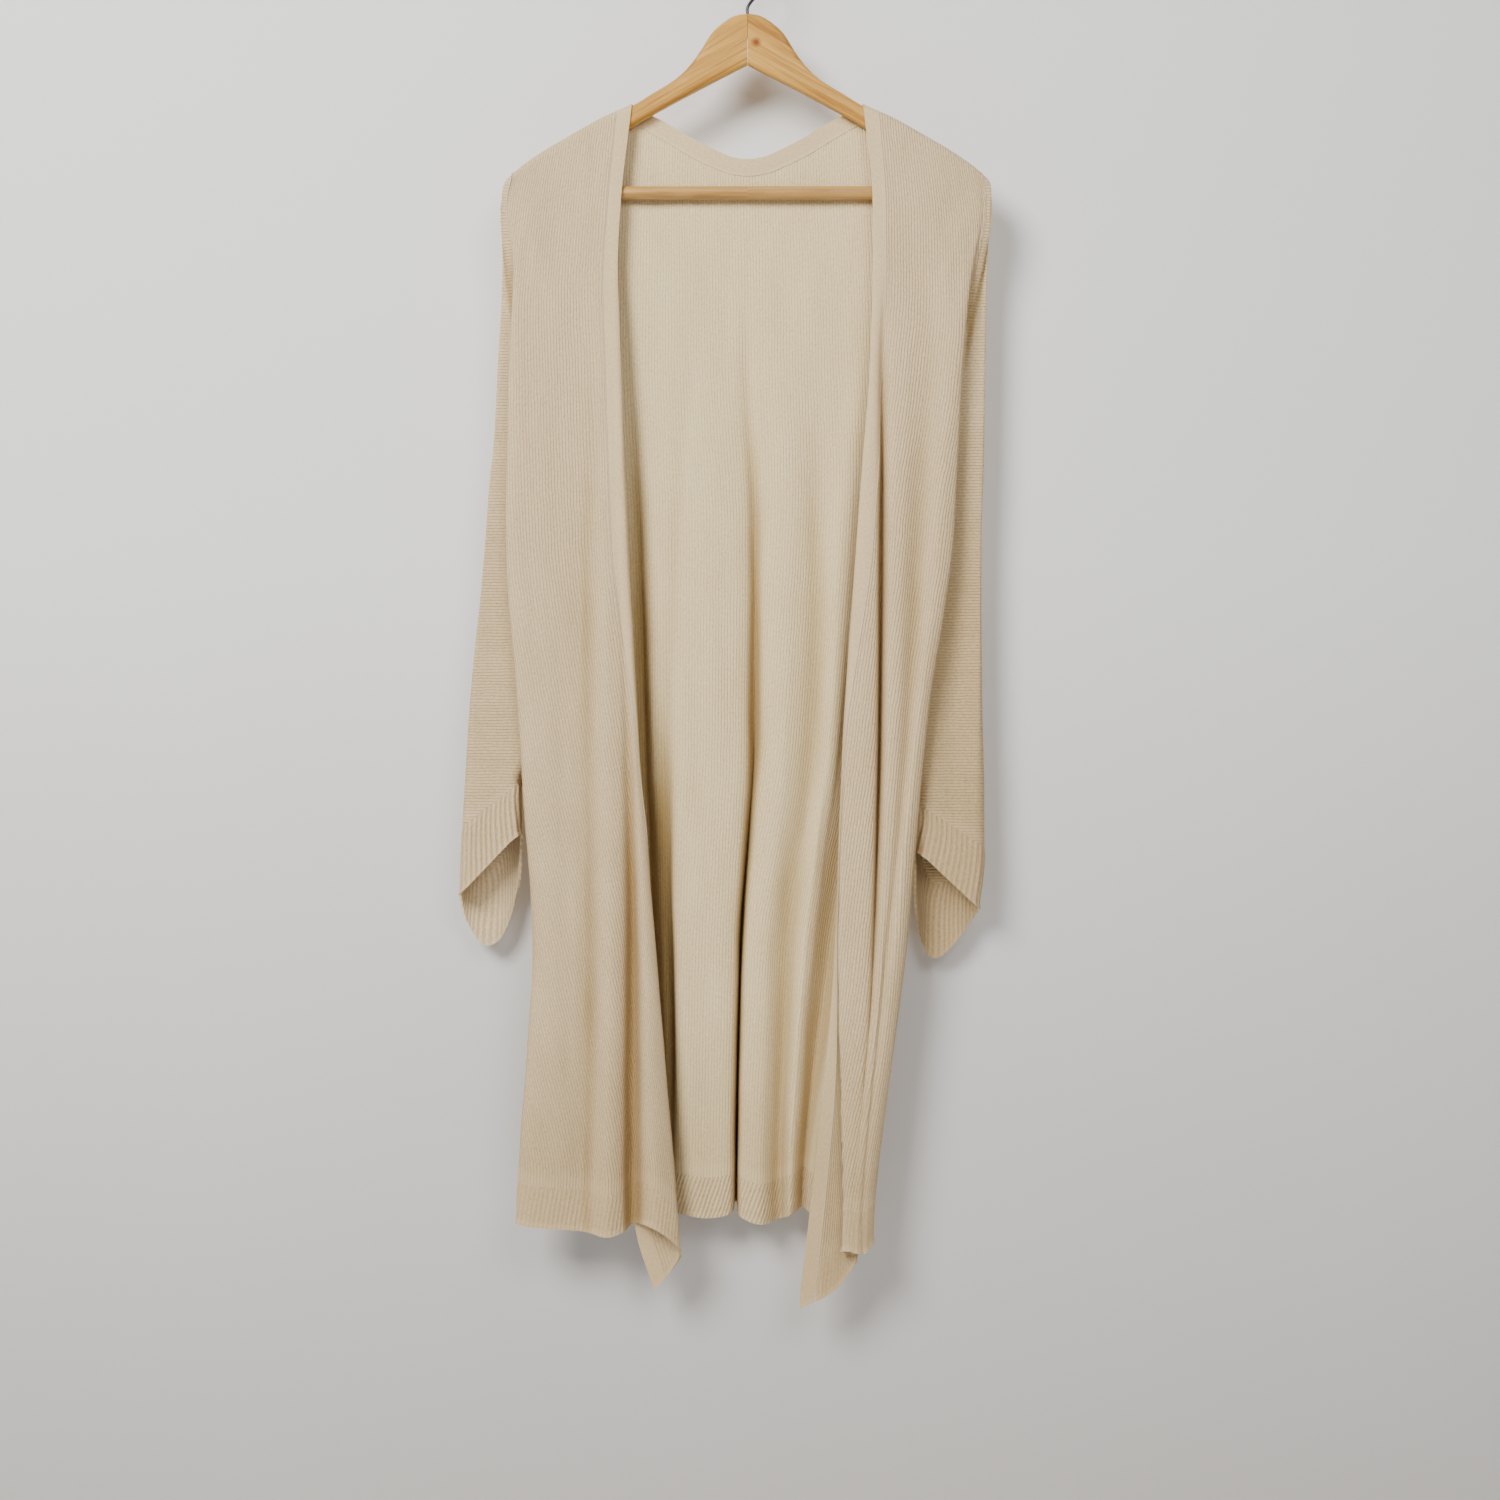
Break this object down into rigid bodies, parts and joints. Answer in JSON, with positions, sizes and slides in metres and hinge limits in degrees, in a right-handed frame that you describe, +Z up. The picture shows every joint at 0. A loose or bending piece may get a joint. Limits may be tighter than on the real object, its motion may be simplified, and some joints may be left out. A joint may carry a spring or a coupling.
{
  "type": "long knit kimono jacket on a wooden hanger",
  "caption": "Long open kimono jacket in fine cream knit with ribbed cuffs and hem, hanging on a varnished wooden coat hanger with a round bar and a wire hook.",
  "frame": {"origin": "inside top of the hook, where a rail carries the hanger", "axes": "+Z up, +X to the wearer's left, +Y to the back; the open front faces -Y"},
  "size_m": [0.4953, 0.0681, 1.266],
  "materials": {
    "cream_fine_knit": "fine vertical wales, slightly flecked, faint sheen",
    "cream_rib_knit": "ribbed knit",
    "cream_band_knit": "plain close knit",
    "varnished_wood": "clear satin varnish",
    "black_wire": "black lacquer"
  },
  "bodies": {
    "root": {"back": "cream_fine_knit", "front_right": "cream_fine_knit", "front_left": "cream_fine_knit", "sleeve_right": "cream_fine_knit", "sleeve_left": "cream_fine_knit", "cuff_right": "cream_rib_knit", "cuff_left": "cream_rib_knit", "front_band_right": "cream_band_knit", "front_band_left": "cream_band_knit", "neck_band": "cream_band_knit", "hem_rib_back": "cream_rib_knit", "hem_rib_front_right": "cream_rib_knit", "hem_rib_front_left": "cream_rib_knit", "hanger_arm_right": "varnished_wood", "hanger_arm_left": "varnished_wood", "hanger_bar": "varnished_wood", "hanger_hook": "black_wire"}
  },
  "joints": []
}
